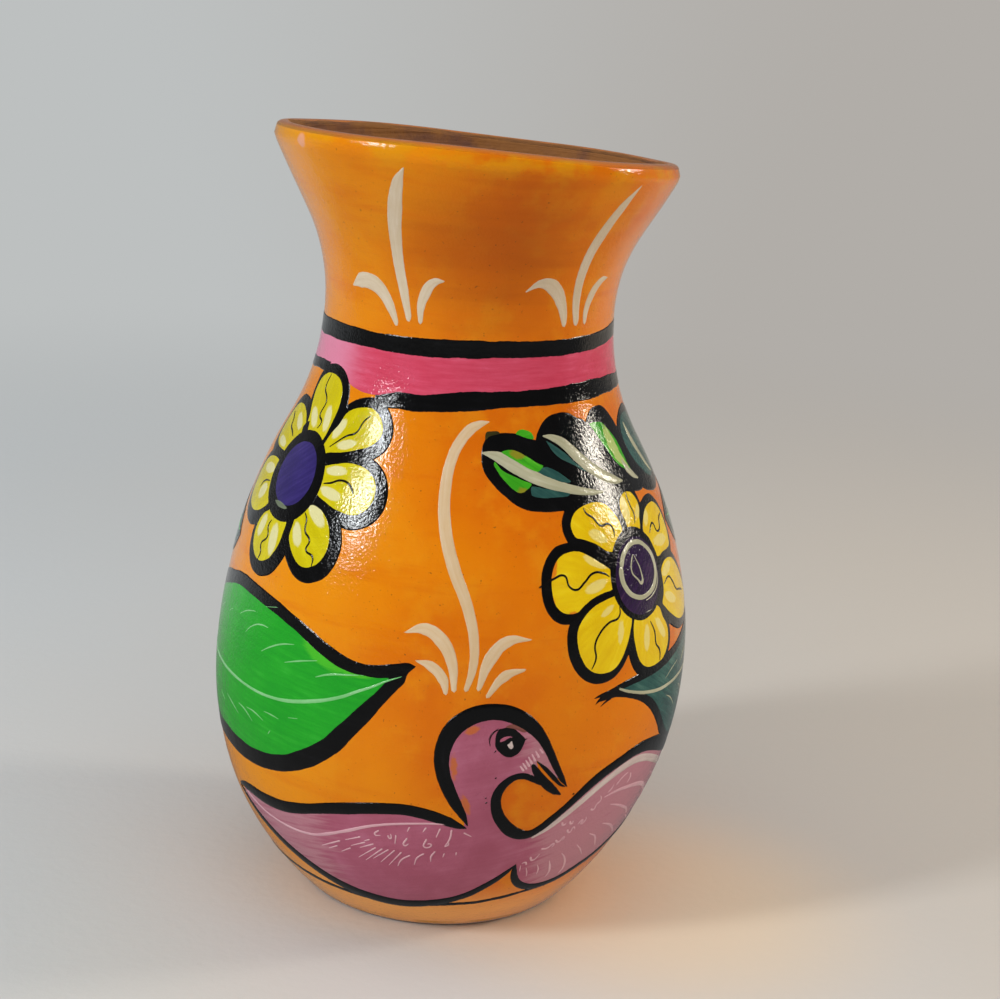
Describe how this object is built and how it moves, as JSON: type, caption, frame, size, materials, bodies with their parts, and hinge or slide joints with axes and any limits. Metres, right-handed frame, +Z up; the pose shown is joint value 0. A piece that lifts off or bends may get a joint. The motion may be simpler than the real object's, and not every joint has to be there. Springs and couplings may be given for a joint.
{
  "type": "painted clay olla",
  "caption": "Round-bellied clay jar with a narrow throat, a flared neck and a slanted open mouth, painted with folk flowers, leaves and a bird.",
  "frame": {"origin": "centre of the foot, on the surface that the pot stands on", "axes": "+Z up through the mouth, -Y to the painted front with the bird, +X to the right of someone facing that front"},
  "size_m": [0.144, 0.144, 0.2347],
  "materials": {
    "orange_ground": "brushed orange paint under a glossy, slightly pitted varnish",
    "black_paint": "raised black paint under the same varnish",
    "pink_paint": "raised pink paint under the same varnish",
    "yellow_paint": "streaky yellow petal paint under the same varnish",
    "green_paint": "green and teal leaf paint under the same varnish",
    "violet_paint": "dark violet paint of the flowers' hearts under the same varnish",
    "cream_paint": "cream brush strokes under the same varnish"
  },
  "bodies": {
    "root": {"base_disc": "orange_ground", "lower_bowl": "orange_ground", "upper_bowl": "orange_ground", "neck_collar": "orange_ground", "rim_coil": "orange_ground", "upper_ring": "black_paint", "pink_band": "pink_paint", "lower_ring": "black_paint", "foot_line": "black_paint"}
  },
  "joints": []
}
